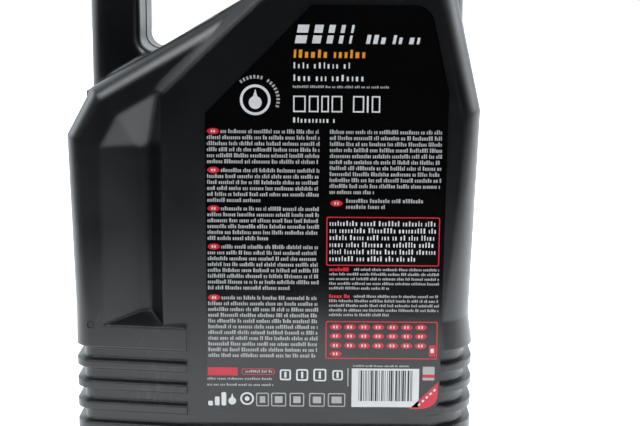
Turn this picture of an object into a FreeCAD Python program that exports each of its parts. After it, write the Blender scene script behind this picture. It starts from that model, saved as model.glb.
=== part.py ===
import FreeCAD, Part
import math
import os

# Five litre oil bottle with a side handle, blow moulded in one piece, with its screw cap,
# sealing wad, tamper band, labels and the oil inside. Millimetres, Z up, the peel label faces -Y,
# the handle is at -X and the neck at +X. The origin is under the middle of the bottle.

# Body outline as seen from the label side
body_width = 189.5
body_depth = 142.0
left_taper = 1.6
right_taper = 1.25
left_corner_height = 154.6
right_corner_height = 167.2
chamfer_angle = 61.7
chamfer_height = 21.6
shoulder_angle = 30.3
lean_angle = 13.0

# Edges between the sides and the two label faces
border_radius = 10.5
border_facet_angle = 8.0
border_facet_width = 55.35
right_radius_low = 25.0
right_radius_high = 15.5
plateau_radius = 5.0
base_radius = 5.0
base_steps = 3

# Rise of the label faces towards the neck tower
slope_start_height = 224.0
slope_end_height = 259.0
slope_end_half_depth = 25.0
slope_blend_radius = 14.0
slope_top_radius = 2.0

# Wall and the clearance of the oil from it
wall = 1.1
oil_clearance = 0.3
oil_level = 225.0

# Stacked ribs round the foot
base_band_height = 19.2
rib_pitch = 10.1
rib_count = 4
rib_upper_flank = 1.4
rib_lower_flank = 0.9
rib_face_height = 3.4
rib_side_depth = 3.7
rib_step_left = 0.1
rib_step_right = 1.9
rib_flare_height = 14.0

# Sunk label panel, the raised band beside it and the step up to the right border
panel_recess = 2.5
panel_border = 9.2
band_top_height = 66.8
ledge_angle = 28.0

# Valley that runs up beside the panel and turns along the shoulder
crest_inset = 17.6
crest_depth = 6.0
valley_side_angle = 23.0
valley_chamfer_angle = 25.9
valley_shoulder_angle = 22.3
valley_floor_depth = 12.9
plateau_inset = 44.85
plateau_corner_height = 175.6
plateau_diagonal_angle = 43.4
plateau_flank_angle = 56.8
valley_end_gap = 21.2

# Neck tower and neck finish
tower_radius = 25.0
tower_rise = 11.0
tower_edge_radius = 3.0
neck_inset = 28.75
neck_radius = 20.5
neck_bore_radius = 18.4
neck_rim_chamfer = 0.5
bead_radius = 22.4
bead_height = 2.4

# Hollow handle
handle_inset = 6.65
handle_width = 23.6
handle_half_depth = 27.0
handle_bar_height = 20.0
handle_root_height = 150.0
handle_outer_edge_radius = 9.0
handle_inner_edge_radius = 5.0
handle_corner_radius = 26.0
grip_corner_radius = 12.0
grip_root_radius = 7.0
grip_toe_radius = 5.0
grip_floor_drop = 1.5

# Recess under the base
foot_width = 11.0
foot_recess = 3.0

# Screw cap, sealing wad and tamper band
cap_radius = 25.0
cap_wall = 1.9
cap_top_thickness = 2.2
cap_height = 25.0
cap_crown_height = 3.0
cap_edge_chamfer = 1.2
cap_rib_count = 60
cap_rib_depth = 0.5
cap_rib_root_share = 0.3
cap_rib_tip_share = 0.18
cap_plain_rim = 2.0
band_height = 6.0
band_gap = 0.6
band_lip_height = 2.4
band_lip_clearance = 0.5
wad_thickness = 1.2
wad_side_clearance = 0.4
seal_clearance = 0.1

# Labels
label_thickness = 0.3
leaf_thickness = 0.3
label_left_margin = 9.2
label_right_low_margin = 17.0
label_right_high_margin = 15.6
label_bottom_margin = 7.1
label_top_margin = 9.3
label_left_corner_margin = 9.4
label_right_corner_rise = 9.2
label_top_length = 53.0
label_top_right_run = 8.7
label_corner_radius = 4.0
label_right_corner_radius = 8.0
label_top_right_radius = 9.0
label_slight_radius = 1.5
leaf_margin = 0.5
front_label_margin = 2.0

# Derived places
half_depth = body_depth / 2
half_width = body_width / 2
left_lean = math.tan(math.radians(left_taper))
right_lean = math.tan(math.radians(right_taper))
facet_slope = math.tan(math.radians(border_facet_angle))
facet_start = -half_width + border_facet_width
panel_left = facet_start
plateau_left = -half_width + plateau_inset
chamfer_run = chamfer_height / math.tan(math.radians(chamfer_angle))
shoulder_corner = (-half_width + chamfer_run, left_corner_height + chamfer_height)
tower_top = slope_end_height + tower_rise
neck_offset = half_width - neck_inset
valley_end = neck_offset - tower_radius - valley_end_gap
handle_outer = -half_width + handle_inset
handle_inner = handle_outer + handle_width
cap_bottom = tower_top + band_height + band_gap
cap_ceiling = cap_bottom + cap_height - cap_top_thickness
neck_top = cap_ceiling - wad_thickness - 2 * seal_clearance
cap_bore_radius = cap_radius - cap_wall
rib_groove = rib_pitch - rib_face_height
rib_stack_top = base_band_height + (rib_count - 1) * rib_pitch + rib_groove
taper_foot = rib_stack_top + rib_flare_height
panel_face = half_depth - panel_recess
label_left = panel_left + label_left_margin
label_right_low = half_width - label_right_low_margin
label_right_high = half_width - label_right_high_margin
label_bottom = base_band_height + label_bottom_margin
label_top = slope_start_height - label_top_margin
label_left_corner_height = plateau_corner_height - label_left_corner_margin
label_right_corner_height = right_corner_height + label_right_corner_rise
label_top_right = label_right_high - label_top_right_run
label_top_left = label_top_right - label_top_length

# Working values: a length beyond the bottle and a length too short to matter
far = 400.0
tiny = 0.01


def vec(x, y, z):
    return FreeCAD.Vector(x, y, z)


def shoulder_line(x):
    """Height of the shoulder at a place across the bottle."""
    return shoulder_corner[1] + (x - shoulder_corner[0]) * math.tan(math.radians(shoulder_angle))


def moved_in(points, insets):
    """Closed anticlockwise polygon with each side moved inwards by its own inset."""
    lines = []
    count = len(points)
    for i in range(count):
        ax, ay = points[i]
        bx, by = points[(i + 1) % count]
        length = math.hypot(bx - ax, by - ay)
        dx, dy = (bx - ax) / length, (by - ay) / length
        lines.append((ax - dy * insets[i], ay + dx * insets[i], dx, dy))
    moved = []
    for i in range(count):
        px, py, dx, dy = lines[i - 1]
        qx, qy, ex, ey = lines[i]
        t = ((qx - px) * ey - (qy - py) * ex) / (dx * ey - dy * ex)
        moved.append((px + dx * t, py + dy * t))
    return moved


def rounded_wire(points, radii, place, flats=False):
    """Closed wire round a polygon with a tangent arc or, with flats, a straight cut at each corner."""
    starts, mids, ends = [], [], []
    count = len(points)
    for i in range(count):
        cx, cy = points[i]
        ax, ay = points[i - 1]
        bx, by = points[(i + 1) % count]
        la, lb = math.hypot(ax - cx, ay - cy), math.hypot(bx - cx, by - cy)
        ux, uy = (ax - cx) / la, (ay - cy) / la
        wx, wy = (bx - cx) / lb, (by - cy) / lb
        half = math.acos(max(-1.0, min(1.0, ux * wx + uy * wy))) / 2
        reach = radii[i] / math.tan(half)
        mx, my = ux + wx, uy + wy
        size = math.hypot(mx, my)
        gap = radii[i] / math.sin(half) - radii[i]
        starts.append((cx + ux * reach, cy + uy * reach))
        mids.append((cx + mx / size * gap, cy + my / size * gap))
        ends.append((cx + wx * reach, cy + wy * reach))
    edges = []
    for i in range(count):
        if radii[i] > 0 and flats:
            edges.append(Part.LineSegment(place(*starts[i]), place(*ends[i])).toShape())
        elif radii[i] > 0:
            arc = Part.Arc(place(*starts[i]), place(*mids[i]), place(*ends[i]))
            edges.append(arc.toShape())
        edges.append(Part.LineSegment(place(*ends[i]), place(*starts[(i + 1) % count])).toShape())
    return Part.Wire(edges)


def stacked(wires):
    """Solid through level wires with matching edges, as flats, straight sweeps and ruled rounds."""
    faces = [Part.Face(wires[0]), Part.Face(wires[-1])]
    for low, high in zip(wires, wires[1:]):
        for first, second in zip(low.Edges, high.Edges):
            a, b = [vertex.Point for vertex in first.Vertexes]
            d, c = [vertex.Point for vertex in second.Vertexes]
            if isinstance(first.Curve, Part.Line):
                faces.append(Part.Face(Part.makePolygon([a, b, c, d, a])))
            elif abs(first.Length - second.Length) < tiny / 10:
                faces.append(first.extrude(d - a))
            else:
                faces.append(Part.makeRuledSurface(first, second))
    skin = Part.makeCompound(faces)
    skin.sewShape(tiny / 10)
    result = Part.Solid(skin.Shells[0])
    if result.Volume < 0:
        result.reverse()
    return result


def softened(shape, edges, radius, inset):
    """Edges rounded on the outside; inside the wall they get flats that leave it no thinner."""
    if inset == 0:
        return shape.makeFillet(radius, edges)
    return shape.makeChamfer(radius - inset, edges)


def keep_behind(shape, point, normal):
    """What lies behind a plane, the side that its normal points away from."""
    normal = FreeCAD.Vector(normal)
    normal.normalize()
    block = Part.makeBox(2 * far, 2 * far, far, vec(-far, -far, 0))
    block.Placement = FreeCAD.Placement(point, FreeCAD.Rotation(vec(0, 0, 1), normal))
    return shape.cut(block)


def section_wire(height, inset, left_cut=0.0, right_cut=0.0, face_cut=0.0):
    """Level section of the body: a rounded box whose faces fall back towards the handle side."""
    level = min(max(height, taper_foot), right_corner_height)
    right = half_width - (right_corner_height - level) * right_lean
    left = -half_width + (left_corner_height - max(height, taper_foot)) * left_lean
    left_half = half_depth - (facet_start - left) * facet_slope
    corners = [
        (right, -half_depth),
        (right, half_depth),
        (facet_start, half_depth),
        (left, left_half),
        (left, -left_half),
        (facet_start, -half_depth),
    ]
    right_inset, left_inset, face_inset = inset + right_cut, inset + left_cut, inset + face_cut
    insets = [right_inset, face_inset, face_inset, left_inset, face_inset, face_inset]
    rise = (level - taper_foot) / (right_corner_height - taper_foot)
    full_right = right_radius_low + (right_radius_high - right_radius_low) * rise
    right_arc = max(full_right - max(right_inset, face_inset), 1.0)
    left_arc = max(border_radius - max(left_inset, face_inset), 1.0)
    radii = [right_arc, right_arc, 0, left_arc, left_arc, 0]
    return rounded_wire(moved_in(corners, insets), radii, lambda u, v: vec(u, v, height), inset > 0)


def side_stack(inset):
    """Foot rounding, upright rib stack and tapered sides as one stack of level sections."""
    wires = []
    foot = base_radius - inset
    steps = base_steps if inset == 0 else 1
    for step in range(steps + 1):
        angle = math.pi / 2 * step / steps
        cut = foot * (1 - math.sin(angle))
        height = inset + foot * (1 - math.cos(angle))
        wires.append(section_wire(height, inset, cut - rib_step_left, cut - rib_step_right, cut))
    upper_shift = inset * math.tan(math.atan2(rib_side_depth, rib_upper_flank) / 2)
    lower_shift = inset * math.tan(math.atan2(rib_side_depth, rib_lower_flank) / 2)
    for index in range(rib_count):
        start = base_band_height + index * rib_pitch
        levels = [
            (start - upper_shift, 0),
            (start + rib_upper_flank - upper_shift, 1),
            (start + rib_groove - rib_lower_flank + lower_shift, 1),
            (start + rib_groove + lower_shift, 0),
        ]
        for height, share in levels:
            side = share * rib_side_depth
            wires.append(section_wire(height, inset, side - rib_step_left, side - rib_step_right,
                                      share * panel_recess))
    for height in (taper_foot + inset, right_corner_height, slope_end_height + wall):
        wires.append(section_wire(height, inset))
    return stacked(wires)


def edge_prism(origin, angle, inset, radius, facet):
    """Endless bar along one sloping side of the outline, its two long edges rounded."""
    along = vec(math.cos(angle), 0, math.sin(angle))
    out = vec(-math.sin(angle), 0, math.cos(angle))
    base = vec(origin[0], 0, origin[1]) - along * far
    arc = radius - inset
    if facet:
        edge_half = half_depth - border_facet_width * facet_slope
        corners = [
            (-far, -half_depth),
            (-border_facet_width, -half_depth),
            (0, -edge_half),
            (0, edge_half),
            (-border_facet_width, half_depth),
            (-far, half_depth),
        ]
        radii = [0, 0, arc, arc, 0, 0]
    else:
        corners = [(-far, -half_depth), (0, -half_depth), (0, half_depth), (-far, half_depth)]
        radii = [0, arc, arc, 0]
    inner = moved_in(corners, [inset] * len(corners))
    wire = rounded_wire(inner, radii, lambda u, v: base + out * u + vec(0, v, 0), inset > 0)
    return Part.Face(wire).extrude(along * (2 * far))


def rise_prism(inset):
    """Side view of the body: upright faces that lean in towards the neck tower."""
    corners = [
        (-half_depth, -far),
        (half_depth, -far),
        (half_depth, slope_start_height),
        (slope_end_half_depth, slope_end_height),
        (-slope_end_half_depth, slope_end_height),
        (-half_depth, slope_start_height),
    ]
    radii = [0, 0, slope_blend_radius, slope_top_radius, slope_top_radius, slope_blend_radius]
    inner = moved_in(corners, [inset] * len(corners))
    wire = rounded_wire(inner, radii, lambda u, v: vec(-far, u, v), inset > 0)
    return Part.Face(wire).extrude(vec(2 * far, 0, 0))


def mirrored(shape):
    return shape.mirror(vec(0, 0, 0), vec(0, 1, 0))


def face_point(x, depth, z):
    """A point on the -Y label side, at a depth behind the full face."""
    return vec(x, depth - half_depth, z)


def sloping_normal(inward_x, inward_z, slope):
    """Normal of a plane that sinks by slope towards an inward direction, pointing into the bottle."""
    return vec(-slope * inward_x, 1, -slope * inward_z)


def panel_pocket(inset):
    """What is sunk for the label: down to the foot band, and left over the valley above the raised band."""
    right_edge = vec(half_width, 0, right_corner_height)
    block = Part.makeBox(far, far, far, vec(-far / 2, -far - half_depth + panel_recess + inset, 0))
    block = keep_behind(block, right_edge + vec(inset - panel_border, 0, 0), vec(1, 0, -right_lean))
    lean = math.radians(lean_angle)
    lean_normal = vec(math.cos(lean), 0, math.sin(lean))
    block = keep_behind(block, right_edge + lean_normal * (inset - panel_border), lean_normal)
    foot_slope = rib_upper_flank / panel_recess
    foot_normal = vec(0, foot_slope, -1)
    foot_normal.normalize()
    low = keep_behind(block, face_point(0, 0, base_band_height) + foot_normal * inset, foot_normal)
    low = keep_behind(low, vec(panel_left - inset, 0, 0), vec(-1, 0, 0))
    high = keep_behind(block, *ledge_plane(inset))
    return low.fuse(high)


def ledge_plane(inset):
    """The ramp that rises inwards from the top edge of the raised band."""
    ramp = math.tan(math.radians(ledge_angle))
    normal = vec(ramp * facet_slope, ramp, -1)
    normal.normalize()
    return face_point(facet_start, 0, band_top_height) + normal * inset, normal


def valley(inset):
    """Region above the shallowest of the side, chamfer, shoulder, floor and ledge planes."""
    floor = -half_depth + valley_floor_depth + inset
    block = Part.makeBox(far + valley_end, far, far, vec(-far, floor - far, 0))
    side_slope = math.tan(math.radians(valley_side_angle))
    chamfer_slope = math.tan(math.radians(valley_chamfer_angle))
    shoulder_slope = math.tan(math.radians(valley_shoulder_angle))
    corner = vec(-half_width, 0, left_corner_height)
    directions = [
        (vec(1, 0, 0), side_slope, corner),
        (inward(chamfer_angle), chamfer_slope, corner),
        (inward(shoulder_angle), shoulder_slope, vec(shoulder_corner[0], 0, shoulder_corner[1])),
    ]
    for heading, slope, start in directions:
        normal = sloping_normal(heading.x, heading.z, slope)
        normal.normalize()
        crest = start + heading * crest_inset + vec(0, crest_depth - half_depth, 0)
        block = keep_behind(block, crest + normal * inset, normal)
    return keep_behind(block, *ledge_plane(inset))


def inward(angle):
    """Direction square to a sloping side of the outline, into the bottle."""
    return vec(math.sin(math.radians(angle)), 0, -math.cos(math.radians(angle)))


def plateau(inset):
    """Block that carries the panel, with steep flanks down into the valley on both label sides."""
    depth = 2 * (half_depth - panel_recess - inset)
    foot = band_top_height - 2 * panel_recess + inset
    block = Part.makeBox(far, depth, far, vec(-far / 2, -depth / 2, foot))
    steep = math.tan(math.radians(plateau_flank_angle))
    diagonal = inward(plateau_diagonal_angle) * -1
    for side in (-1, 1):
        face = side * (half_depth - panel_recess)
        for heading in (vec(-1, 0, 0), diagonal):
            normal = heading * steep + vec(0, side, 0)
            normal.normalize()
            edge = vec(plateau_left, face, plateau_corner_height)
            block = keep_behind(block, edge - normal * inset, normal)
    return block


def handle(inset):
    """Upright grip and top bar as one plate with a window, softened along every long edge."""
    half = handle_half_depth - inset
    top = tower_top - inset
    outer = handle_outer + inset
    inner = handle_inner - inset
    under = tower_top - handle_bar_height + inset
    root = handle_root_height
    frame = [(outer, root), (neck_offset, root), (neck_offset, top), (outer, top)]
    frame_radii = [0, 0, 0, handle_corner_radius - inset]
    frame_wire = rounded_wire(frame, frame_radii, lambda u, v: vec(u, -half, v))
    plate = Part.Face(frame_wire).extrude(vec(0, 2 * half, 0))
    rims = []
    for edge in plate.Edges:
        box = edge.BoundBox
        if box.YLength < tiny and box.ZMax > root + tiny and box.XMin < neck_offset - tiny:
            rims.append(edge)
    plate = softened(plate, rims, handle_outer_edge_radius, inset)

    drop = grip_floor_drop + inset
    slope = math.tan(math.radians(shoulder_angle))
    tip = shoulder_corner[0] + (under + drop - shoulder_corner[1]) / slope
    window = [(inner, shoulder_line(inner) - drop), (tip, under), (inner, under)]
    radii = [grip_root_radius + inset, grip_toe_radius, grip_corner_radius + inset]
    window_wire = rounded_wire(window, radii, lambda u, v: vec(u, -half, v))
    plate = plate.cut(Part.Face(window_wire).extrude(vec(0, 2 * half, 0)))
    rims = []
    for edge in plate.Edges:
        box = edge.BoundBox
        if box.YLength < tiny and box.XMin > inner - tiny and box.XMax < tip + tiny:
            rims.append(edge)
    return softened(plate, rims, handle_inner_edge_radius, inset)


def tower(inset):
    """Round tower under the neck, standing in the body."""
    root = right_corner_height + inset
    body = Part.makeCylinder(tower_radius - inset, tower_top - inset - root, vec(neck_offset, 0, root))
    rim = [edge for edge in body.Edges if edge.BoundBox.ZMin > tower_top - inset - tiny]
    return softened(body, rim, tower_edge_radius, inset)


def foot_hollow(inset):
    """Recess under the base, inside the ring that the bottle stands on, with sloping sides."""
    wires = []
    for height in (-foot_recess, foot_recess + inset):
        cut = foot_width + height - inset
        wires.append(section_wire(height, 0, cut, cut, cut))
    return stacked(wires)


def bottle_form(inset):
    """The blown shape moved inwards by an inset: 0 for the outside, the wall for the inside."""
    lean = edge_prism((half_width, right_corner_height), math.radians(lean_angle - 90), inset,
                      right_radius_high, False)
    tilt = math.radians(shoulder_angle)
    shoulder = edge_prism(shoulder_corner, tilt, inset, border_radius, True)
    sharp_shoulder = edge_prism(shoulder_corner, tilt, inset, plateau_radius + inset, False)
    chamfer = edge_prism((-half_width, left_corner_height), math.radians(chamfer_angle), inset,
                         border_radius, True)
    shared = side_stack(inset).common(lean).common(rise_prism(inset))
    body = shared.common(chamfer).common(shoulder)
    pocket = panel_pocket(inset)
    dip = valley(inset)
    body = body.cut([pocket, mirrored(pocket)])
    body = body.cut([dip, mirrored(dip)])
    raised = plateau(inset).common(shared).common(sharp_shoulder)
    body = body.fuse([raised, tower(inset), handle(inset)])
    return body.cut(foot_hollow(inset))


def ring(outer, inner, bottom, height):
    """Plain ring about the neck axis."""
    disc = Part.makeCylinder(outer, height, vec(neck_offset, 0, bottom))
    return disc.cut(Part.makeCylinder(inner, height, vec(neck_offset, 0, bottom)))


def bottle():
    """Blown shell with its hollow grip, open neck and the bead that holds the tamper band."""
    root = tower_top - wall
    neck = Part.makeCylinder(neck_radius, neck_top - root, vec(neck_offset, 0, root))
    rim = [edge for edge in neck.Edges if edge.BoundBox.ZMin > neck_top - tiny]
    neck = neck.makeChamfer(neck_rim_chamfer, rim)
    bead_bottom = tower_top + band_lip_height + band_lip_clearance
    bead = Part.makeCylinder(bead_radius, bead_height, vec(neck_offset, 0, bead_bottom))
    outside = bottle_form(0).fuse([neck, bead])
    bore = Part.makeCylinder(neck_bore_radius, neck_top - root + 2 * wall,
                             vec(neck_offset, 0, root - wall))
    inside = bottle_form(wall).fuse(bore)
    return outside.cut(inside)


def oil():
    """The oil up to its level, kept a little clear of the wall."""
    fill = bottle_form(wall + oil_clearance)
    above = Part.makeBox(far, far, far, vec(-far / 2, -far / 2, oil_level))
    return fill.cut(above)


def knurled_disc(radius, depth, count, bottom, height):
    """Disc whose rim carries upright ribs with sloping flanks."""
    root, tip = cap_rib_root_share, cap_rib_tip_share
    profile = ((-root, 0), (-tip, 1), (tip, 1), (root, 0))
    corners = []
    for index in range(count):
        for share, reach in profile:
            angle = 2 * math.pi * (index + share) / count
            size = radius - depth + depth * reach
            corners.append(vec(neck_offset + size * math.cos(angle), size * math.sin(angle), bottom))
    return Part.Face(Part.makePolygon(corners + corners[:1])).extrude(vec(0, 0, height))


def screw_cap():
    """Ribbed skirt with a plain rim at the foot and a bevelled crown."""
    crown_bottom = cap_bottom + cap_height - cap_crown_height
    rib_bottom = cap_bottom + cap_plain_rim
    ribbed = knurled_disc(cap_radius, cap_rib_depth, cap_rib_count, rib_bottom, crown_bottom - rib_bottom)
    plain = Part.makeCylinder(cap_radius, cap_plain_rim, vec(neck_offset, 0, cap_bottom))
    crown = Part.makeCylinder(cap_radius, cap_crown_height, vec(neck_offset, 0, crown_bottom))
    rim = [edge for edge in crown.Edges if edge.BoundBox.ZMin > crown_bottom + cap_crown_height - tiny]
    crown = crown.makeChamfer(cap_edge_chamfer, rim)
    hollow = Part.makeCylinder(cap_bore_radius, cap_ceiling - cap_bottom + wall,
                               vec(neck_offset, 0, cap_bottom - wall))
    return plain.fuse([ribbed, crown]).cut(hollow)


def sealing_wad():
    """Foam disc between the cap's ceiling and the rim of the neck."""
    return Part.makeCylinder(cap_bore_radius - wad_side_clearance, wad_thickness,
                             vec(neck_offset, 0, neck_top + seal_clearance))


def tamper_band():
    """Band left on the neck, with an inner lip below the bead."""
    skirt = ring(cap_radius, cap_bore_radius, tower_top, band_height)
    lip = ring(cap_radius, neck_radius + band_lip_clearance, tower_top, band_lip_height)
    return skirt.fuse(lip).removeSplitter()


def label_outline(margin, y):
    """Closed outline of a label in its panel."""
    corners = [
        (label_left, label_bottom),
        (label_right_low, label_bottom),
        (label_right_high, label_right_corner_height),
        (label_top_right, label_top),
        (label_top_left, label_top),
        (label_left, label_left_corner_height),
    ]
    radii = [
        label_corner_radius,
        label_right_corner_radius,
        label_slight_radius,
        label_top_right_radius,
        label_slight_radius,
        label_slight_radius,
    ]
    inner = moved_in(corners, [margin] * len(corners))
    return rounded_wire(inner, radii, lambda u, v: vec(u, y, v))


def label(margin, y, thickness):
    return Part.Face(label_outline(margin, y)).extrude(vec(0, thickness, 0))


parts = {
    "bottle": bottle(),
    "oil_fill": oil(),
    "screw_cap": screw_cap(),
    "sealing_wad": sealing_wad(),
    "tamper_band": tamper_band(),
    "label_base": label(0, -panel_face, -label_thickness),
    "peel_label": label(leaf_margin, -panel_face - label_thickness, -leaf_thickness),
    "front_label": label(front_label_margin, panel_face, label_thickness),
}

os.makedirs("parts", exist_ok=True)
for name, shape in parts.items():
    shape.exportStep("parts/" + name + ".step")
    print(name, shape.isValid(), len(shape.Solids), round(shape.Volume / 1000, 2), "cm3")
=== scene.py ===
import math

import bmesh
import bpy
import numpy as np
from mathutils import Matrix, Vector


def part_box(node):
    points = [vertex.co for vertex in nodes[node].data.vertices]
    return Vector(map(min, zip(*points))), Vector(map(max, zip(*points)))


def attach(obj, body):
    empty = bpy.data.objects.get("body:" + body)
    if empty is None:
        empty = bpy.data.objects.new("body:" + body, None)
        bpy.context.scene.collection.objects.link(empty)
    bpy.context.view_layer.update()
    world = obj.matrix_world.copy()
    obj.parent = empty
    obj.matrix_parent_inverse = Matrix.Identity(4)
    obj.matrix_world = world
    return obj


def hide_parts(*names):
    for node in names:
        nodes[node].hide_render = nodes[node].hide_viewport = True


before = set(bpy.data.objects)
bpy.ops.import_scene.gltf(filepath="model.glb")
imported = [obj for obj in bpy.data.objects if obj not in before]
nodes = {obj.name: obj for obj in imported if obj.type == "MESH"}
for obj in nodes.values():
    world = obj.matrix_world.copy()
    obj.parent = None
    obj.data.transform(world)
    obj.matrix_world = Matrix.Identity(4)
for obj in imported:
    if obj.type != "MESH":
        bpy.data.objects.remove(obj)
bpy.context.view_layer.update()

scene = bpy.context.scene

# Camera and room
# The bottle stands near the front edge of a white table, with a bright wall behind it. The room on
# the camera's side is dark. The camera looks a little down on the peel label, handle on the left.
scene.view_settings.view_transform = "Standard"

photo_width = 640
focal_pixels = 1383.0
sensor_width = 36.0
nearest = 0.01
camera_place = (0.02175, -0.6870, 0.2345)
camera_down = math.radians(10.4)
camera_roll = math.radians(0.4)

camera_data = bpy.data.cameras.new("camera")
camera_data.sensor_width = sensor_width
camera_data.lens = sensor_width * focal_pixels / photo_width
camera_data.clip_start = nearest
camera = bpy.data.objects.new("camera", camera_data)
camera.matrix_world = (Matrix.Translation(camera_place)
                       @ Matrix.Rotation(math.pi / 2 - camera_down, 4, "X")
                       @ Matrix.Rotation(camera_roll, 4, "Z"))
scene.collection.objects.link(camera)
scene.camera = camera


def add(tree, kind, links=(), **values):
    """A node with its sockets set by name, and links given as (socket, output) pairs."""
    node = tree.nodes.new(kind)
    for key, value in values.items():
        if hasattr(node, key):
            setattr(node, key, value)
        else:
            node.inputs[key.replace("_", " ")].default_value = value
    for socket, output in links:
        tree.links.new(output, node.inputs[socket])
    return node


def new_material(name):
    """A node material with nothing in it yet."""
    material = bpy.data.materials.new(name)
    material.use_nodes = True
    material.node_tree.nodes.clear()
    return material, material.node_tree


def finish_material(tree, shader):
    """Gives the tree its output."""
    add(tree, "ShaderNodeOutputMaterial", [("Surface", shader.outputs[0])])


# The wall: how far back a direction points, from where the wall begins to where it is full
wall_start = -0.10
wall_full = 0.55
room_dark = 0.012
room_bright = 1.45
room_colour = (0.88, 0.95, 1.0, 1)
white = (1, 1, 1, 1)

world = bpy.data.worlds.new("studio")
scene.world = world
world.use_nodes = True
tree = world.node_tree
tree.nodes.clear()
place = add(tree, "ShaderNodeTexCoord")
split = add(tree, "ShaderNodeSeparateXYZ", [(0, place.outputs["Generated"])])
wall = add(tree, "ShaderNodeMapRange", [("Value", split.outputs["Y"])], interpolation_type="SMOOTHSTEP",
           From_Min=wall_start, From_Max=wall_full, To_Min=room_dark, To_Max=room_bright)
path = add(tree, "ShaderNodeLightPath")
light = add(tree, "ShaderNodeBackground", [("Strength", wall.outputs["Result"])], Color=room_colour)
backdrop = add(tree, "ShaderNodeBackground", Color=white, Strength=1.0)
either = add(tree, "ShaderNodeMixShader",
             [(0, path.outputs["Is Camera Ray"]), (1, light.outputs[0]), (2, backdrop.outputs[0])])
add(tree, "ShaderNodeOutputWorld", [("Surface", either.outputs[0])])

# The table: its near edge comes to a blunt nose before the bottle and runs back to both sides
table_half = 1.3
table_front = -0.34
table_nose = 0.12
table_shoulder = 0.45
table_back = 4.0
table_colour = (0.9, 0.9, 0.905, 1)
table_near_white = 0.40     # glow of the table by itself near the bottle, which grows to 1 away from it
white_start, white_full = 0.12, 0.8
table_shine = 0.8           # its glow in mirror images

table_mesh = bpy.data.meshes.new("table_top")
table_corners = [(-table_nose, table_front), (table_nose, table_front), (table_half, table_shoulder),
                 (table_half, table_back), (-table_half, table_back), (-table_half, table_shoulder)]
table_mesh.from_pydata([(x, y, 0) for x, y in table_corners], [], [range(len(table_corners))])
table_top = bpy.data.objects.new("table_top", table_mesh)
scene.collection.objects.link(table_top)
material, tree = new_material("white_table")
path = add(tree, "ShaderNodeLightPath")
place = add(tree, "ShaderNodeTexCoord")
reach = add(tree, "ShaderNodeVectorMath", [(0, place.outputs["Object"])], operation="LENGTH")
glow = add(tree, "ShaderNodeMapRange", [("Value", reach.outputs["Value"])], From_Min=white_start,
           From_Max=white_full, To_Min=table_near_white, To_Max=1.0)
seen = add(tree, "ShaderNodeMath", [(0, path.outputs["Is Camera Ray"]), (1, glow.outputs["Result"])],
           operation="MULTIPLY")
mirrored = add(tree, "ShaderNodeMath", [(0, path.outputs["Is Glossy Ray"]), (2, seen.outputs[0])],
               operation="MULTIPLY_ADD")
mirrored.inputs[1].default_value = table_shine
paint = add(tree, "ShaderNodeBsdfPrincipled", Base_Color=table_colour, Roughness=0.7)
light = add(tree, "ShaderNodeEmission", [("Strength", mirrored.outputs[0])], Color=white)
finish_material(tree, add(tree, "ShaderNodeAddShader", [(0, paint.outputs[0]), (1, light.outputs[0])]))
table_mesh.materials.append(material)


def soft_lamp(name, place, aim_height, size, power, colour):
    """A square lamp at a place, turned to a point on the bottle's axis."""
    data = bpy.data.lights.new(name, "AREA")
    data.size = size
    data.energy = power
    data.color = colour
    lamp = bpy.data.objects.new(name, data)
    turn = (Vector((0, 0, aim_height)) - Vector(place)).to_track_quat("-Z", "Y").to_matrix().to_4x4()
    lamp.matrix_world = Matrix.Translation(place) @ turn
    scene.collection.objects.link(lamp)


soft_lamp("lamp_top", (0.0, 0.35, 1.6), 0.1, size=1.0, power=20, colour=(0.80, 0.92, 1.0))
soft_lamp("lamp_left", (-1.5, 0.4, 0.7), 0.15, size=0.9, power=9, colour=(0.88, 0.95, 1.0))
soft_lamp("lamp_right", (1.5, 0.4, 0.7), 0.15, size=0.9, power=9, colour=(0.92, 0.96, 1.0))
soft_lamp("lamp_front_left", (-1.0, -1.0, 1.6), 0.12, size=0.9, power=23, colour=(0.94, 0.97, 1.0))
soft_lamp("lamp_front_right", (1.0, -1.0, 1.6), 0.12, size=0.9, power=23, colour=(0.94, 0.97, 1.0))

# Bottle
# One blown shell of black polyethylene. Its skin is a fine eggshell from the blasted mould, the edges
# of the mould's facets are a little soft, and the mould's parting line runs round it.
black = (0.0022, 0.0023, 0.0029, 1.0)
scuffed = (0.022, 0.023, 0.025, 1.0)
rib_crease, body_crease, neck_crease = 0.0012, 0.0034, 0.0004       # how soft the edges look
rib_top, body_foot = 0.066, 0.082               # heights between which the first gives way to the second
body_top, neck_foot = 0.262, 0.266
seam_half = 0.00045
seam_foot_half = 2.2 * seam_half
seam_height = 0.0006
eggshell_height = 0.00006
scuff_start, scuff_full = 0.40, 0.52


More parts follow.
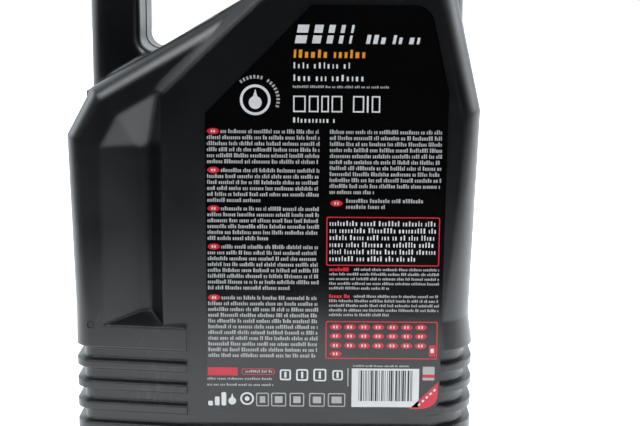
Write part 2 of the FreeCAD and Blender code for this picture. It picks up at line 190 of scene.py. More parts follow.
def moulded_plastic(name, colour, worn, roughness, eggshell, crease, blown=False):
    """Satin moulded plastic: an eggshell bump, slow changes of gloss, soft edges and a few scuffs.

    A blown shell has the mould's parting line as a thin ridge where Y is 0 as well. The softness of
    its edges goes from one value to the next with the height.
    """
    material, tree = new_material(name)
    spot = add(tree, "ShaderNodeTexCoord").outputs["Object"]
    fine = add(tree, "ShaderNodeTexNoise", [("Vector", spot)], Scale=2600, Detail=2, Roughness=0.55)
    slow = add(tree, "ShaderNodeTexNoise", [("Vector", spot)], Scale=38, Detail=3, Roughness=0.5)
    gloss = add(tree, "ShaderNodeMapRange", [("Value", slow.outputs["Fac"])], From_Min=0.3, From_Max=0.7,
                To_Min=roughness - 0.03, To_Max=roughness + 0.04)
    stretch = add(tree, "ShaderNodeMapping", [("Vector", spot)], Scale=(1.0, 1.0, 0.25),
                  Rotation=(0, 0.5, 0))
    rub = add(tree, "ShaderNodeTexNoise", [("Vector", stretch.outputs[0])], Scale=420, Detail=4,
              Roughness=0.7)
    patch = add(tree, "ShaderNodeTexNoise", [("Vector", spot)], Scale=24, Detail=1)
    rare = add(tree, "ShaderNodeMath", [(0, rub.outputs["Fac"]), (1, patch.outputs["Fac"])],
               operation="MULTIPLY")
    tint = add(tree, "ShaderNodeValToRGB", [("Fac", rare.outputs[0])])
    tint.color_ramp.elements[0].position = scuff_start
    tint.color_ramp.elements[0].color = colour
    tint.color_ramp.elements[1].position = scuff_full
    tint.color_ramp.elements[1].color = worn
    rounded = add(tree, "ShaderNodeBevel", samples=8, Radius=crease)
    normal = rounded.outputs[0]
    if blown:
        split = add(tree, "ShaderNodeSeparateXYZ", [(0, spot)])
        upward = add(tree, "ShaderNodeMapRange", [("Value", split.outputs["Z"])], From_Min=rib_top,
                     From_Max=body_foot, To_Min=rib_crease, To_Max=body_crease)
        near_neck = add(tree, "ShaderNodeMapRange", [("Value", split.outputs["Z"])], From_Min=body_top,
                        From_Max=neck_foot, To_Min=1.0, To_Max=neck_crease / body_crease)
        softness = add(tree, "ShaderNodeMath", [(0, upward.outputs[0]), (1, near_neck.outputs[0])],
                       operation="MULTIPLY")
        tree.links.new(softness.outputs[0], rounded.inputs["Radius"])
        off_seam = add(tree, "ShaderNodeMath", [(0, split.outputs["Y"])], operation="ABSOLUTE")
        seam = add(tree, "ShaderNodeMapRange", [("Value", off_seam.outputs[0])], From_Min=seam_half,
                   From_Max=seam_foot_half, To_Min=1.0, To_Max=0.0)
        raised = add(tree, "ShaderNodeBump", [("Height", seam.outputs[0]), ("Normal", normal)],
                     Strength=1.0, Distance=seam_height)
        normal = raised.outputs[0]
    bump = add(tree, "ShaderNodeBump", [("Height", fine.outputs["Fac"]), ("Normal", normal)],
               Strength=eggshell, Distance=eggshell_height)
    skin = add(tree, "ShaderNodeBsdfPrincipled",
               [("Base Color", tint.outputs["Color"]), ("Roughness", gloss.outputs["Result"]),
                ("Normal", bump.outputs[0])], Specular_IOR_Level=0.62)
    finish_material(tree, skin)
    return material


def dress(piece, material):
    """Gives a piece its one material."""
    piece.data.materials.clear()
    piece.data.materials.append(material)


black_hdpe = moulded_plastic("black_polyethylene", black, scuffed, roughness=0.34, eggshell=0.30,
                             crease=rib_crease, blown=True)
dress(nodes["bottle"], black_hdpe)

# Neck finish
# The thread that the cap winds up on is blown with the neck: one rounded ridge of a little over two
# and a half turns, right-handed, that runs out into the neck at both ends.
cap_low, cap_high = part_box("screw_cap")
neck_x, neck_y = (cap_low[0] + cap_high[0]) / 2, 0.0
thread_pitch = 0.006
thread_turns = 2.6
thread_foot = 0.2795
thread_root = 0.0203
thread_height = 0.0015
thread_half_width = 0.0011
thread_run_out = np.pi / 4      # angle over which each end fades
thread_least = 0.03             # share of its height and width that is left at the very end
thread_sunk = -0.25             # how far its underside reaches into the neck, as a share of its height
thread_steps, thread_corners = 300, 16
full_turn = 2 * np.pi
weld = 1e-6


def grid_mesh(name, points, wrap_rows, wrap_columns):
    """Mesh on a grid of points (rows, columns, 3), closed round in each direction where asked.

    Each cell is one quad of the points (i, j), (i, j + 1), (i + 1, j + 1) and (i + 1, j).
    """
    rows, columns = points.shape[:2]
    i = np.arange(rows if wrap_rows else rows - 1)[:, None]
    j = np.arange(columns if wrap_columns else columns - 1)[None, :]
    below, beside = (i + 1) % rows, (j + 1) % columns
    quads = np.stack([i * columns + j, i * columns + beside, below * columns + beside,
                      below * columns + j], axis=-1)
    mesh = bpy.data.meshes.new(name)
    mesh.from_pydata(points.reshape(-1, 3).tolist(), [], quads.reshape(-1, 4).tolist())
    return mesh


def close_mesh(mesh, fill_ends=False):
    """Welds equal points, fills the open ends if asked and makes every face point outwards."""
    work = bmesh.new()
    work.from_mesh(mesh)
    bmesh.ops.remove_doubles(work, verts=work.verts, dist=weld)
    if fill_ends:
        edges = [edge for edge in work.edges if edge.is_boundary]
        bmesh.ops.holes_fill(work, edges=edges, sides=0)
    bmesh.ops.recalc_face_normals(work, faces=work.faces)
    work.to_mesh(mesh)
    work.free()


def new_piece(mesh, material, body, smooth=True):
    """A piece of one mesh with its finish, which rides on a body."""
    piece = bpy.data.objects.new(mesh.name, mesh)
    scene.collection.objects.link(piece)
    mesh.materials.append(material)
    if smooth:
        mesh.shade_smooth()
    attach(piece, body)
    return piece


# The ridge: round the neck by the angle and up by the pitch. Its section is an ellipse whose underside
# is cut off inside the neck, and whose height and width fade at both ends
along = np.linspace(0, thread_turns * full_turn, thread_steps)[:, None]
across = np.linspace(0, full_turn, thread_corners, endpoint=False)[None, :]
fade = np.clip(np.minimum(along, thread_turns * full_turn - along) / thread_run_out, thread_least, 1.0)
reach = thread_root + thread_height * fade * np.clip(np.sin(across), thread_sunk, 1.0)
level = thread_foot + thread_pitch * along / full_turn + thread_half_width * fade * np.cos(across)
ridge = np.stack([neck_x + reach * np.cos(along), neck_y + reach * np.sin(along), level], axis=-1)
thread_mesh = grid_mesh("neck_thread", ridge, wrap_rows=False, wrap_columns=True)
close_mesh(thread_mesh, fill_ends=True)
new_piece(thread_mesh, black_hdpe, "bottle_body")

# Moulding marks
# Where the two halves of the mould met, the blown plastic keeps a fine ridge: it shows most inside the
# grip. A small ring beside the ledge is the mark of a pin in the mould.
shoulder_corner = (-0.08312, 0.1762)
shoulder_rise = math.tan(math.radians(30.3))
grip_face, grip_roof, grip_floor_drop = -0.0645, 0.2500, 0.0015
grip_radii = (0.007, 0.005, 0.012)              # of the window's corners: foot, tip and top
ridge_half_width, ridge_height = 0.00055, 0.00035
ridge_corners = 12
ring_x, ring_y, ring_z = -0.0846, -0.06465, 0.0667
ring_tilt = math.radians(8)
ring_radius, ring_thickness = 0.0017, 0.00022
ring_steps, ring_corners = 32, 8


def rounded_loop(corners, radii, steps=16):
    """Anticlockwise loop of points: each corner is an arc about the point that lies its radius from
    both sides, turned evenly from one tangent to the other."""
    corners = np.asarray(corners, float)
    points = []
    for i, corner in enumerate(corners):
        back = corners[i - 1] - corner
        ahead = corners[(i + 1) % len(corners)] - corner
        back, ahead = back / np.linalg.norm(back), ahead / np.linalg.norm(ahead)
        half = math.acos(float(np.dot(back, ahead))) / 2
        middle = corner + (back + ahead) / np.linalg.norm(back + ahead) * radii[i] / math.sin(half)
        start = corner + back * radii[i] / math.tan(half) - middle
        angle = math.atan2(start[1], start[0]) + np.linspace(0, np.pi - 2 * half, steps)
        points.append(middle + radii[i] * np.stack([np.cos(angle), np.sin(angle)], axis=-1))
    return np.concatenate(points)


def left_of(loop):
    """Unit vectors square to a closed loop, to the left of its mean direction at each point."""
    ahead = np.roll(loop, -1, axis=0) - loop
    ahead /= np.linalg.norm(ahead, axis=1, keepdims=True)
    mean = ahead + np.roll(ahead, 1, axis=0)
    mean /= np.linalg.norm(mean, axis=1, keepdims=True)
    return np.stack([-mean[:, 1], mean[:, 0]], axis=-1)


# The ridge: an ellipse across the mould's middle plane, carried round the window of the grip
tip_x = shoulder_corner[0] + (grip_roof + grip_floor_drop - shoulder_corner[1]) / shoulder_rise
floor_z = shoulder_corner[1] + (grip_face - shoulder_corner[0]) * shoulder_rise - grip_floor_drop
window = rounded_loop([(grip_face, floor_z), (tip_x, grip_roof), (grip_face, grip_roof)], grip_radii)
inwards = left_of(window)
around = np.linspace(0, full_turn, ridge_corners, endpoint=False)[None, :]
lift = ridge_height * np.sin(around)
seam = np.stack([window[:, :1] + inwards[:, :1] * lift,
                 np.broadcast_to(ridge_half_width * np.cos(around), (len(window), ridge_corners)),
                 window[:, 1:] + inwards[:, 1:] * lift], axis=-1)
seam_mesh = grid_mesh("grip_parting_ridge", seam, wrap_rows=True, wrap_columns=True)
close_mesh(seam_mesh)
new_piece(seam_mesh, black_hdpe, "bottle_body")

# The ring: a torus of the two radii, laid on the sloping face and turned with it
turn = np.linspace(0, full_turn, ring_steps, endpoint=False)[:, None]
bulge = np.linspace(0, full_turn, ring_corners, endpoint=False)[None, :]
reach = ring_radius + ring_thickness * np.cos(bulge)
out = ring_thickness * np.sin(bulge)
beside = reach * np.cos(turn)
ring = np.stack([ring_x + beside * math.cos(ring_tilt) - out * math.sin(ring_tilt),
                 ring_y - beside * math.sin(ring_tilt) - out * math.cos(ring_tilt),
                 ring_z + reach * np.sin(turn)], axis=-1)
ring_mesh = grid_mesh("moulding_ring", ring, wrap_rows=True, wrap_columns=True)
close_mesh(ring_mesh)
new_piece(ring_mesh, black_hdpe, "bottle_body")

# Oil
# A little under five litres of clear amber engine oil, which fills the shell up to the foot of the
# slope below the neck. It shows only through the open neck.
oil_dark = (0.62, 0.25, 0.025, 1)
oil_light = (0.78, 0.38, 0.05, 1)
oil_refraction = 1.47

material, tree = new_material("amber_oil")
place = add(tree, "ShaderNodeTexCoord")
cloud = add(tree, "ShaderNodeTexNoise", [("Vector", place.outputs["Object"])], Scale=9, Detail=1)
tint = add(tree, "ShaderNodeValToRGB", [("Fac", cloud.outputs["Fac"])])
tint.color_ramp.elements[0].color = oil_dark
tint.color_ramp.elements[1].color = oil_light
oil_skin = add(tree, "ShaderNodeBsdfPrincipled", [("Base Color", tint.outputs["Color"])],
               Roughness=0.03, IOR=oil_refraction, Transmission_Weight=0.5)
finish_material(tree, oil_skin)
dress(nodes["oil_fill"], material)

# Sealing wad
# A disc of white foamed polyethylene, pressed into the cap, that seals on the rim of the neck. It
# rises with the cap.
foam_wall = (0.80, 0.80, 0.77, 1)
# painted shade: a darker copy of the foam's white that stands for the shade in its pits
foam_pit_shade = (0.70, 0.70, 0.66, 1)
foam_depth = 0.0001

material, tree = new_material("white_foam")
place = add(tree, "ShaderNodeTexCoord")
cells = add(tree, "ShaderNodeTexVoronoi", [("Vector", place.outputs["Object"])], Scale=1500)
# painted shade in the pits: the foam darkens from each cell's middle out towards its edges
tint = add(tree, "ShaderNodeValToRGB", [("Fac", cells.outputs["Distance"])])
tint.color_ramp.elements[0].color = foam_wall
tint.color_ramp.elements[1].color = foam_pit_shade
bump = add(tree, "ShaderNodeBump", [("Height", cells.outputs["Distance"])], Strength=0.5,
           Distance=foam_depth)
foam = add(tree, "ShaderNodeBsdfPrincipled",
           [("Base Color", tint.outputs["Color"]), ("Normal", bump.outputs[0])], Roughness=0.75)
finish_material(tree, foam)
dress(nodes["sealing_wad"], material)

# Screw cap
# Injection moulded in black polyethylene, with sixty grip ribs that fade out above the plain rim and
# below the rounded crown, and a thread inside that matches the neck's.
cap_black = (0.0075, 0.0075, 0.0085, 1)
cap_scuffed = (0.03, 0.03, 0.032, 1)
cap_radius = (cap_high[0] - cap_low[0]) / 2
cap_foot, cap_top = cap_low[2], cap_high[2]
cap_edge = 0.0004
cap_rib_count = 60
cap_rib_depth = 0.0006
groove_sharpness = 2.2
rib_start, rib_full = cap_foot + 0.0018, cap_foot + 0.0030
rib_fade, rib_end = cap_top - 0.0036, cap_top - 0.0024
crown_radius = 0.0018
dish_depth = 0.0003
cap_ceiling = cap_top - 0.0022
cap_bore = 0.0231
bore_edge = 0.0006
rim_lead = 0.0003
pole = 0.0010                   # radius of the small flat at the middle of the top and of the ceiling
cap_thread_foot = cap_foot + 0.0032
cap_thread_reach = 0.0009
cap_thread_width = 0.0008
lead_start, lead_full = cap_foot + 0.0022, cap_foot + 0.0040
tail_start, tail_end = cap_ceiling - 0.0078, cap_ceiling - 0.0058
skirt_rows, crown_rows, bore_rows = 34, 8, 60
cap_steps = 480
cap_turn = np.linspace(0, full_turn, cap_steps, endpoint=False)[None, :]

cap_plastic = moulded_plastic("black_cap_plastic", cap_black, cap_scuffed, roughness=0.42,
                              eggshell=0.22, crease=0.0003)


def fade_in(value, start, end):
    """Smooth step: 0 before start, 1 after end, and 3t^2 - 2t^3 between them."""
    t = np.clip((value - start) / (end - start), 0, 1)
    return t * t * (3 - 2 * t)


def turned(radii, heights):
    """Points (row, column) of rings about the cap's axis, with a radius and a height for each row."""
    x, y = neck_x + radii * np.cos(cap_turn), neck_y + radii * np.sin(cap_turn)
    return np.stack([x, y, np.broadcast_to(heights, x.shape)], axis=-1)


# The inside, from the middle of the ceiling out and down the bore to the rim: the thread is a bell of
# the height above a helix of the pitch, which fades near both ends of the bore
ceiling_radii = np.array([pole, 0.0080, 0.0150, cap_bore - bore_edge])[:, None]
bore_heights = np.linspace(cap_ceiling - bore_edge, cap_foot + 2 * cap_edge, bore_rows)[:, None]
winds = (bore_heights - cap_thread_foot - thread_pitch * cap_turn / full_turn) / thread_pitch
off_thread = (winds - np.round(winds)) * thread_pitch
bell = np.exp(-(off_thread / cap_thread_width) ** 2)
bell = bell * fade_in(bore_heights, lead_start, lead_full) * (1 - fade_in(bore_heights, tail_start, tail_end))
rim_radii = np.array([cap_bore + rim_lead, (cap_bore + cap_radius) / 2, cap_radius - cap_edge])[:, None]
inside = [turned(ceiling_radii, cap_ceiling),
          turned(cap_bore - cap_thread_reach * bell, bore_heights),
          turned(rim_radii, cap_foot)]

# The outside: up the skirt, round the crown and over the dished top to its middle. The grooves between
# the ribs are a sharpened cosine of the angle, times a mask of the height
skirt = np.linspace(cap_foot + cap_edge, cap_top - crown_radius, skirt_rows)
bend = np.linspace(0, np.pi / 2, crown_rows + 1)[1:]
heights = np.concatenate([skirt, cap_top - crown_radius + crown_radius * np.sin(bend)])[:, None]
radii = np.concatenate([np.full(len(skirt), cap_radius), cap_radius - crown_radius * (1 - np.cos(bend))])
ribbed = fade_in(heights, rib_start, rib_full) * (1 - fade_in(heights, rib_fade, rib_end))
groove = (0.5 - 0.5 * np.cos(cap_rib_count * cap_turn)) ** groove_sharpness
top_radii = np.array([0.0222, 0.0205, 0.0200, 0.0195, 0.0120, 0.0060, pole])[:, None]
top_drop = dish_depth * np.array([0, 0, 0.5, 1, 1, 1, 1])[:, None]
outside = [turned(radii[:, None] - cap_rib_depth * ribbed * groove, heights),
           turned(top_radii, cap_top - top_drop)]

cap_mesh = grid_mesh("cap_shell", np.concatenate(inside + outside), wrap_rows=False, wrap_columns=True)
close_mesh(cap_mesh, fill_ends=True)
cap_shell = new_piece(cap_mesh, cap_plastic, "cap")
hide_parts("screw_cap")

# Tamper band
# Moulded with the cap and held under the neck's bead. Thin bridges join the two until the first
# opening, and stay on the band as stubs.
dress(nodes["tamper_band"], cap_plastic)
band_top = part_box("tamper_band")[1][2]
bridge_count = 20
bridge_foot = (0.030, 0.0238, 0.0248, band_top - 0.0002)    # half angle, inner and outer radius, height
bridge_tip = (0.018, 0.0240, 0.0246, band_top + 0.0005)

corners = np.array([(angle, radius, height)
                    for half, inner, outer, height in (bridge_foot, bridge_tip)
                    for angle, radius in ((-half, inner), (half, inner), (half, outer), (-half, outer))])
angles = full_turn * np.arange(bridge_count)[:, None] / bridge_count + corners[:, 0]
bridges = np.stack([neck_x + corners[:, 1] * np.cos(angles), neck_y + corners[:, 1] * np.sin(angles),
                    np.broadcast_to(corners[:, 2], angles.shape)], axis=-1)
box_faces = np.array([(0, 1, 2, 3), (7, 6, 5, 4), (0, 4, 5, 1), (1, 5, 6, 2), (2, 6, 7, 3), (3, 7, 4, 0)])
bridge_faces = (np.arange(bridge_count)[:, None, None] * len(corners) + box_faces).reshape(-1, 4)
bridge_mesh = bpy.data.meshes.new("band_bridges")
bridge_mesh.from_pydata(bridges.reshape(-1, 3).tolist(), [], bridge_faces.tolist())
close_mesh(bridge_mesh)
new_piece(bridge_mesh, cap_plastic, "bottle_body", smooth=False)

# Labels
# Two films on the flat panel, a base stuck to the bottle and a leaf that peels back from the corner at
# the lower right, and one film on the far side. All are black, with print in white, grey and colours.
MM = 0.001
film_step = 0.00004             # thickness of one layer of ink
film_black = (0.0016, 0.0015, 0.0016, 1.0)
film_gloss, ink_gloss = 0.16, 0.3
film_wave = 0.0004
grain_start, grain_full = 0.15, 0.35
grain_dark = 0.9
ink_colours = {
    "white": (0.74, 0.74, 0.74, 1),
    "grey": (0.42, 0.42, 0.42, 1),
    "red": (0.62, 0.018, 0.040, 1),
    "orange": (0.87, 0.34, 0.02, 1),
    "black": (0.004, 0.004, 0.004, 1),
}
full_weight = 0.62              # share of a letter's width that is ink, where nothing else is said
full_width = 0.62               # a letter's width as a share of its height
low_letter = 0.72               # height of the lower letters as a share of the tall ones'
letter_gap, word_gap = 0.43, 1.2
bar_lean = 0.19


def printed_film(name, colour, roughness):
    """Smooth printed film: a faint waviness of the gloss and of the ink."""
    material, tree = new_material(name)
    spot = add(tree, "ShaderNodeTexCoord").outputs["Object"]
    wave = add(tree, "ShaderNodeTexNoise", [("Vector", spot)], Scale=45, Detail=2)
    grain = add(tree, "ShaderNodeTexNoise", [("Vector", spot)], Scale=3500, Detail=1)
    gloss = add(tree, "ShaderNodeMapRange", [("Value", wave.outputs["Fac"])], From_Min=0.3, From_Max=0.7,
                To_Min=roughness - 0.02, To_Max=roughness + 0.03)
    blotch = add(tree, "ShaderNodeMath", [(0, grain.outputs["Fac"]), (1, wave.outputs["Fac"])],
                 operation="MULTIPLY")
    tint = add(tree, "ShaderNodeValToRGB", [("Fac", blotch.outputs[0])])
    tint.color_ramp.elements[0].position = grain_start
    tint.color_ramp.elements[1].position = grain_full
    tint.color_ramp.elements[0].color = [grain_dark * value for value in colour[:3]] + [1.0]
    tint.color_ramp.elements[1].color = colour
    bump = add(tree, "ShaderNodeBump", [("Height", wave.outputs["Fac"])], Strength=0.12,
               Distance=film_wave)
    skin = add(tree, "ShaderNodeBsdfPrincipled",
               [("Base Color", tint.outputs["Color"]), ("Roughness", gloss.outputs["Result"]),
                ("Normal", bump.outputs[0])], Specular_IOR_Level=0.5)
    finish_material(tree, skin)
    return material


label_film = printed_film("label_film_black", film_black, film_gloss)
inks = {ink: printed_film("ink_" + ink, colour, ink_gloss) for ink, colour in ink_colours.items()}
for node in ("label_base", "peel_label", "front_label"):
    dress(nodes[node], label_film)


class Print:
    """Ink on one label: closed thin shapes, gathered by ink and laid on the film at the end.

    Outlines are arrays (..., corners, 2) in mm, to the reader's right and up, and run anticlockwise as
    the reader sees them. The side is -1 on the face towards the camera and 1 on the far one.
    """

    def __init__(self, name, node, side, seed):
        low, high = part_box(node)
        self.name = name
        self.side = side
        self.face = max(abs(low[1]), abs(high[1]))
        self.blocks = {}
        self.rng = np.random.default_rng(seed)

    def place(self, outline, lift):
        """Points of an outline on the film, lifted off it."""
        u, z = outline[..., 0] * MM, outline[..., 1] * MM
        return np.stack([-self.side * u, np.full_like(u, self.side * (self.face + lift)), z], axis=-1)

    def keep(self, ink, points, faces):
        """Stores points with arrays of faces on them, whose numbers count from the first of them."""
        stored = self.blocks.setdefault(ink, ([], []))
        start = sum(len(block) for block in stored[0])
        stored[0].append(points)
        for block in faces:
            stored[1].extend((start + block).tolist())

    def shapes(self, ink, outlines, layer=1):
        """Adds one outline or an array of them, each as a plate between two layers."""
        outlines = np.asarray(outlines, float)
        outlines = outlines.reshape(-1, *outlines.shape[-2:])
        count, corners = outlines.shape[:2]
        points = np.concatenate([self.place(outlines, layer * film_step),
                                 self.place(outlines, (layer - 1) * film_step)], axis=1)
        front = np.arange(count)[:, None] * 2 * corners + np.arange(corners)
        back = front + corners
        sides = np.stack([back, np.roll(back, -1, axis=1), np.roll(front, -1, axis=1), front], axis=-1)
        self.keep(ink, points.reshape(-1, 3), [front, back[:, ::-1], sides.reshape(-1, 4)])

    def ring(self, ink, outer, inner):
        """Adds the closed ring between two outlines with as many corners each."""
        points = np.concatenate([self.place(outer, film_step), self.place(inner, film_step),
                                 self.place(inner, 0.0), self.place(outer, 0.0)])
        loop = np.arange(len(points)).reshape(4, -1)
        below = np.roll(loop, -1, axis=0)
        quads = np.stack([loop, np.roll(loop, -1, axis=1), np.roll(below, -1, axis=1), below], axis=-1)
        self.keep(ink, points, [quads.reshape(-1, 4)])

    def lay(self):
        """Makes one mesh of each ink, which rides on the bottle."""
        for ink, (points, faces) in self.blocks.items():
            mesh = bpy.data.meshes.new(self.name + "_" + ink)
            mesh.from_pydata(np.concatenate(points).tolist(), [], faces)
            new_piece(mesh, inks[ink], "bottle_body", smooth=False)


def box_shape(left, bottom, right, top, slant=0.0):
    """Corners of a box whose upper side is shifted by slant."""
    return np.array([(left, bottom), (right, bottom), (right + slant, top), (left + slant, top)])


def oval_shape(x, z, half_width, half_height, corners=20):
    """Corners of an ellipse."""
    turn = np.linspace(0, full_turn, corners, endpoint=False)
    return np.stack([x + half_width * np.cos(turn), z + half_height * np.sin(turn)], axis=-1)


def drop_shape(x, z, radius, corners, tip):
    """A circle whose uppermost corners are moved to the points of the tip, given from its right."""
    drop = oval_shape(x, z, radius, radius, corners)
    first = corners // 4 - len(tip) // 2
    drop[first:first + len(tip)] = np.array([x, z]) + tip
    return drop


def round_box(left, bottom, right, top, radius, steps=4):
    """Corners of a box whose four corners are quarter circles."""
    quarter = np.linspace(0, np.pi / 2, steps)
    centres = ((right - radius, top - radius), (left + radius, top - radius),
               (left + radius, bottom + radius), (right - radius, bottom + radius))
    arcs = []
    for number, (x, z) in enumerate(centres):
        angle = quarter + number * np.pi / 2
        arcs.append(np.stack([x + radius * np.cos(angle), z + radius * np.sin(angle)], axis=-1))
    return np.concatenate(arcs)


def round_frame(sheet, ink, box, line, radius, inner_radius):
    """Frame of one line's width inside a rounded box."""
    left, bottom, right, top = box
    sheet.ring(ink, round_box(left, bottom, right, top, radius),
               round_box(left + line, bottom + line, right - line, top - line, inner_radius))


def slanted_bars(sheet, bars, foot, height, tier_pitch):
    """Two tiers of white bars that lean to the right, each given as its left side and its width."""
    for left, width in bars:
        for rise in (0.0, tier_pitch):
            start = left + bar_lean * rise
            bar = box_shape(start, foot + rise, start + width, foot + rise + height, bar_lean * height)
            sheet.shapes("white", bar)


def oval_mark(sheet, x, z, half_width, half_height, bar_starts, bar_half):
    """Red oval with two short white bars on it, where a letter pair would be."""
    sheet.shapes("red", oval_shape(x, z, half_width, half_height))
    for start in bar_starts:
        sheet.shapes("white", box_shape(x + start, z - bar_half, x + start + 0.7, z + bar_half), layer=2)


def text_rows(sheet, ink, left, right, top, height, count=1, pitch=0.0, last=1.0, first_left=None,
              slant=0.0, weight=full_weight, narrow=full_width):
    """Rows of small upright marks in word-like groups, as a page of print looks from afar.

    Each mark is 0.55 to 1 letter wide and stands on the row's foot. After 2 to 9 marks the gap is a
    word's. The first row may start elsewhere, and the last ends after a share of the width.
    """
    letter = height * narrow
    for row in range(count):
        start = first_left if first_left is not None and row == 0 else left
        end = left + (right - left) * (last if row == count - 1 else 1.0)
        foot = top - height - row * pitch
        number = int((end - start) / (letter * 0.7)) + 8
        widths = sheet.rng.uniform(0.55, 1.0, number) * letter
        gaps = np.full(number, letter_gap * letter)
        word_ends = np.cumsum(sheet.rng.integers(2, 10, number))
        gaps[word_ends[word_ends < number]] = word_gap * letter
        places = start + np.concatenate([[0], np.cumsum(widths + gaps)[:-1]])
        tall = sheet.rng.choice([low_letter, low_letter, 1.0], number) * height
        fits = places + widths < end
        places, widths, tall = places[fits], widths[fits] * weight / full_weight, tall[fits]
        feet = np.full_like(places, foot)
        sheet.shapes(ink, np.stack([
            np.stack([places, feet], axis=-1),
            np.stack([places + widths, feet], axis=-1),
            np.stack([places + widths + slant * tall, feet + tall], axis=-1),
            np.stack([places + slant * tall, feet + tall], axis=-1),
        ], axis=1))


peel = Print("peel_print", "peel_label", side=-1, seed=7)

# Head: slanted bars that grow thinner, heading rows, a row of frames and a row under it
slanted_bars(peel, ((10.0, 5.0), (17.6, 3.8), (24.0, 2.7), (29.4, 1.8), (34.0, 1.1)),
             foot=197.7, height=3.5, tier_pitch=4.7)
text_rows(peel, "white", 41.6, 67.8, 201.6, 4.0, slant=0.2, weight=0.52)
text_rows(peel, "orange", 9.5, 44.0, 194.9, 3.6, slant=0.05, weight=0.5)
text_rows(peel, "white", 9.5, 36.2, 189.2, 2.6, weight=0.33)
text_rows(peel, "white", 9.5, 42.5, 183.8, 2.8, weight=0.38)
text_rows(peel, "grey", 9.2, 52.6, 179.0, 1.1)
frame_foot, frame_top, frame_line = 167.0, 174.4, 0.62
for left, right in ((9.4, 15.0), (16.4, 20.8), (22.0, 25.4), (26.6, 31.4), (36.2, 41.2), (44.6, 48.4)):
    peel.ring("white", box_shape(left, frame_foot, right, frame_top),
              box_shape(left + frame_line, frame_foot + frame_line,
                        right - frame_line, frame_top - frame_line))
peel.shapes("white", box_shape(42.4, frame_foot, 43.2, frame_top))
text_rows(peel, "white", 9.4, 30.0, 164.6, 2.3, weight=0.4)

# Round badge with an oil drop, and a row of small marks that arches over it
badge_x, badge_z = -7.6, 172.4
drop_lift = -1.2
arch_radius = 10.3
arch_half_width, arch_half_height = 0.42, 0.75
drop = drop_shape(badge_x, badge_z + drop_lift, 2.9, 36, [(0.50358, 4.4), (0, 6.1), (-0.50358, 4.4)])
peel.ring("white", oval_shape(badge_x, badge_z, 6.9, 6.9, 40), oval_shape(badge_x, badge_z, 5.7, 5.7, 40))
peel.shapes("white", drop)
arch = np.radians(np.concatenate([np.arange(128, 68, -9.0), np.arange(56, -22, -9.0)]))
out = np.stack([np.cos(arch), np.sin(arch)], axis=-1)
along = np.stack([np.sin(arch), -np.cos(arch)], axis=-1) * arch_half_width
inner, outer = out * (arch_radius - arch_half_height), out * (arch_radius + arch_half_height)
marks = np.stack([outer - along, outer + along, inner + along, inner - along], axis=1)
peel.shapes("grey", np.array([badge_x, badge_z]) + marks)

# Columns of small print, each block opened by a red oval
small, small_pitch = 1.85, 2.74
small_width = 0.42
oval_half_width, oval_half_height = 2.8, 1.45
for top, count, last in ((159.0, 6, 1.0), (141.3, 6, 0.5), (123.7, 6, 0.55), (106.0, 8, 0.75),
                         (82.1, 11, 0.98)):
    text_rows(peel, "grey", -29.4, 21.4, top + 0.15, small, count, small_pitch, last=last,
              first_left=-23.2, narrow=small_width)
    oval_mark(peel, -26.6, top - 0.8, oval_half_width, oval_half_height, (-1.0, 0.2), 0.55)
text_rows(peel, "grey", 26.0, 76.6, 159.15, small, 11, small_pitch, last=0.4, narrow=small_width)
text_rows(peel, "grey", 33.6, 69.0, 127.75, small, 2, small_pitch, last=0.5, narrow=0.5)
oval_mark(peel, 29.2, 125.6, oval_half_width, oval_half_height, (-1.0, 0.3), 0.6)

# Two red frames with their contents, and two blocks of print between them
round_frame(peel, "red", (24.7, 96.6, 76.4, 119.4), 0.5, 0.8, 0.5)
text_rows(peel, "white", 26.2, 74.8, 117.5, 2.3, 6, 3.28, last=0.82, weight=0.42, narrow=0.5)
for top in (95.6, 83.0):
    text_rows(peel, "grey", 26.2, 77.0, top, 1.3, 5, 2.2, last=0.55, first_left=37.5, narrow=0.5)
    text_rows(peel, "red", 26.2, 36.6, top + 0.2, 1.7, weight=0.8)
round_frame(peel, "red", (24.7, 52.5, 76.4, 70.5), 0.5, 0.8, 0.5)
for z, count in ((67.7, 7), (63.4, 7), (58.9, 7), (54.9, 1)):
    for x in 29.4 + 6.55 * np.arange(count):
        oval_mark(peel, x, z, 2.75, 1.4, (-1.2, 0.2), 0.6)
peel.shapes("red", round_box(72.6, 53.9, 75.6, 59.2, 0.5))
peel.shapes("white", round_box(73.3, 55.6, 74.9, 57.6, 0.3), layer=2)

# Foot of the label, upper row: plate, pill, square symbols and a rule
peel.shapes("red", box_shape(-29.8, 44.2, -15.9, 48.0))
round_frame(peel, "red", (-14.2, 44.6, 1.3, 47.6), 0.4, 1.2, 0.9)
text_rows(peel, "grey", -12.4, 0.2, 46.8, 1.2)
text_rows(peel, "grey", -30.0, 1.0, 43.2, 1.1, 2, 2.9)
symbol_z = 44.6
for left, right in ((3.6, 8.8), (11.2, 16.8), (19.2, 25.2), (28.0, 32.9)):
    x, half = (left + right) / 2, (right - left) / 2
    round_frame(peel, "white", (left, symbol_z - half, right, symbol_z + half), 0.7, 0.9, 0.5)
    peel.shapes("white", box_shape(x - 0.5, symbol_z - half * 0.55, x + 0.5, symbol_z + half * 0.55))
peel.shapes("grey", box_shape(35.0, 39.3, 35.5, 48.0))

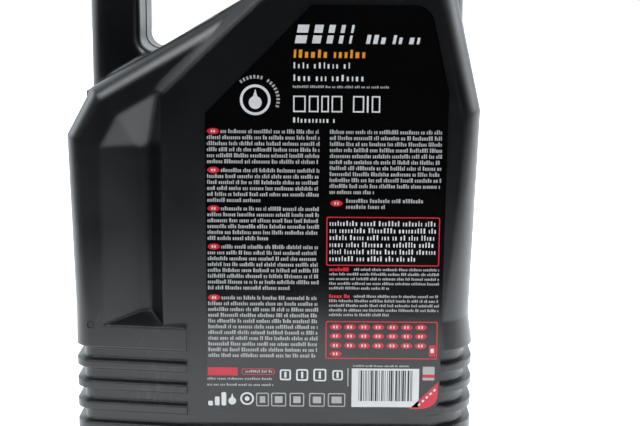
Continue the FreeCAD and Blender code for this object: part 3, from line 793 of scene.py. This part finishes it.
# Lower row: rising bars and a drop as the volume mark, a round symbol and boxes
step_pitch, step_width, step_foot = 3.1, 2.2, 29.6
for x, height in zip(-29.7 + step_pitch * np.arange(3), (2.2, 4.3, 6.4)):
    peel.shapes("white", round_box(x, step_foot, x + step_width, step_foot + height, 0.5))
peel.shapes("white", drop * 0.62 + np.array([-13.8, -74.3]))
peel.ring("white", oval_shape(-11.6, 33.0, 3.2, 3.1, 28), oval_shape(-11.6, 33.0, 2.4, 2.3, 28))
peel.shapes("white", oval_shape(-11.6, 33.0, 1.1, 1.1, 14))
for left, right in ((-7.4, -1.4), (-0.4, 6.6), (8.2, 15.0), (17.3, 24.6), (26.0, 34.1)):
    round_frame(peel, "grey", (left, 29.3, right, 35.9), 0.5, 0.7, 0.4)
    peel.shapes("grey", box_shape(left + 1.7, 31.0, right - 1.7, 34.2))

# Bars of uneven width on a white field, with a row over it and a small plate beside it
peel.shapes("white", box_shape(37.0, 29.3, 68.3, 47.9))
bar_start, bar_end = 40.0, 65.4
bar_edges = bar_start + np.cumsum(peel.rng.choice([0.27, 0.27, 0.54, 0.81], 130))
bar_edges = bar_edges[bar_edges < bar_end]
for left, right in zip(bar_edges[0::2], bar_edges[1::2]):
    peel.shapes("black", box_shape(left, 32.2, right, 47.0), layer=2)
text_rows(peel, "grey", 37.6, 66.6, 49.6, 0.9, last=0.9)
peel.shapes("grey", round_box(69.9, 42.4, 75.4, 49.0, 0.5))
peel.shapes("red", box_shape(69.9, 43.6, 75.4, 45.2), layer=2)

# Red corner that shows where the leaf is lifted, with five white dashes up it
peel.shapes("red", [(64.0, 28.5), (68.0, 28.5), (71.0, 28.7), (73.8, 29.7), (76.0, 31.5), (77.0, 34.0),
                    (77.2, 36.5), (77.3, 41.6)])
dash = np.array([(-0.5, -0.5), (0.1, -1.1), (1.0, -0.2), (0.4, 0.4)])
dash_first = np.array([68.3, 31.0])
dash_pitch = 1.75
peel.shapes("white", dash_first + dash_pitch * np.arange(5)[:, None, None] + dash, layer=2)
peel.lay()

# Front label, on the side away from the camera: two bands of colour, a drop and rows of print
front = Print("front_print", "front_label", side=1, seed=11)
front.shapes("orange", [(-75.6, 60.0), (26.6, 115.0), (26.6, 123.0), (-75.6, 68.0)])
front.shapes("red", [(-75.6, 71.0), (26.6, 126.0), (26.6, 128.6), (-75.6, 73.6)])
front.shapes("white", drop_shape(-34.0, 154.0, 13.0, 48, [
    (5.6, 14.0), (3.6, 18.0), (1.7, 23.5), (0.0, 31.0), (-1.7, 23.5), (-3.6, 18.0), (-5.6, 14.0)]))
slanted_bars(front, ((-70.0, 6.6), (-60.4, 5.0), (-52.4, 3.6), (-45.8, 2.4), (-40.4, 1.4)),
             foot=118.0, height=4.8, tier_pitch=6.2)
text_rows(front, "white", -70.0, -8.0, 113.0, 3.6, 2, 6.0, last=0.6, weight=0.42)
text_rows(front, "grey", -70.0, 20.0, 52.0, 1.8, 5, 3.2, last=0.6, narrow=0.5)
front.lay()
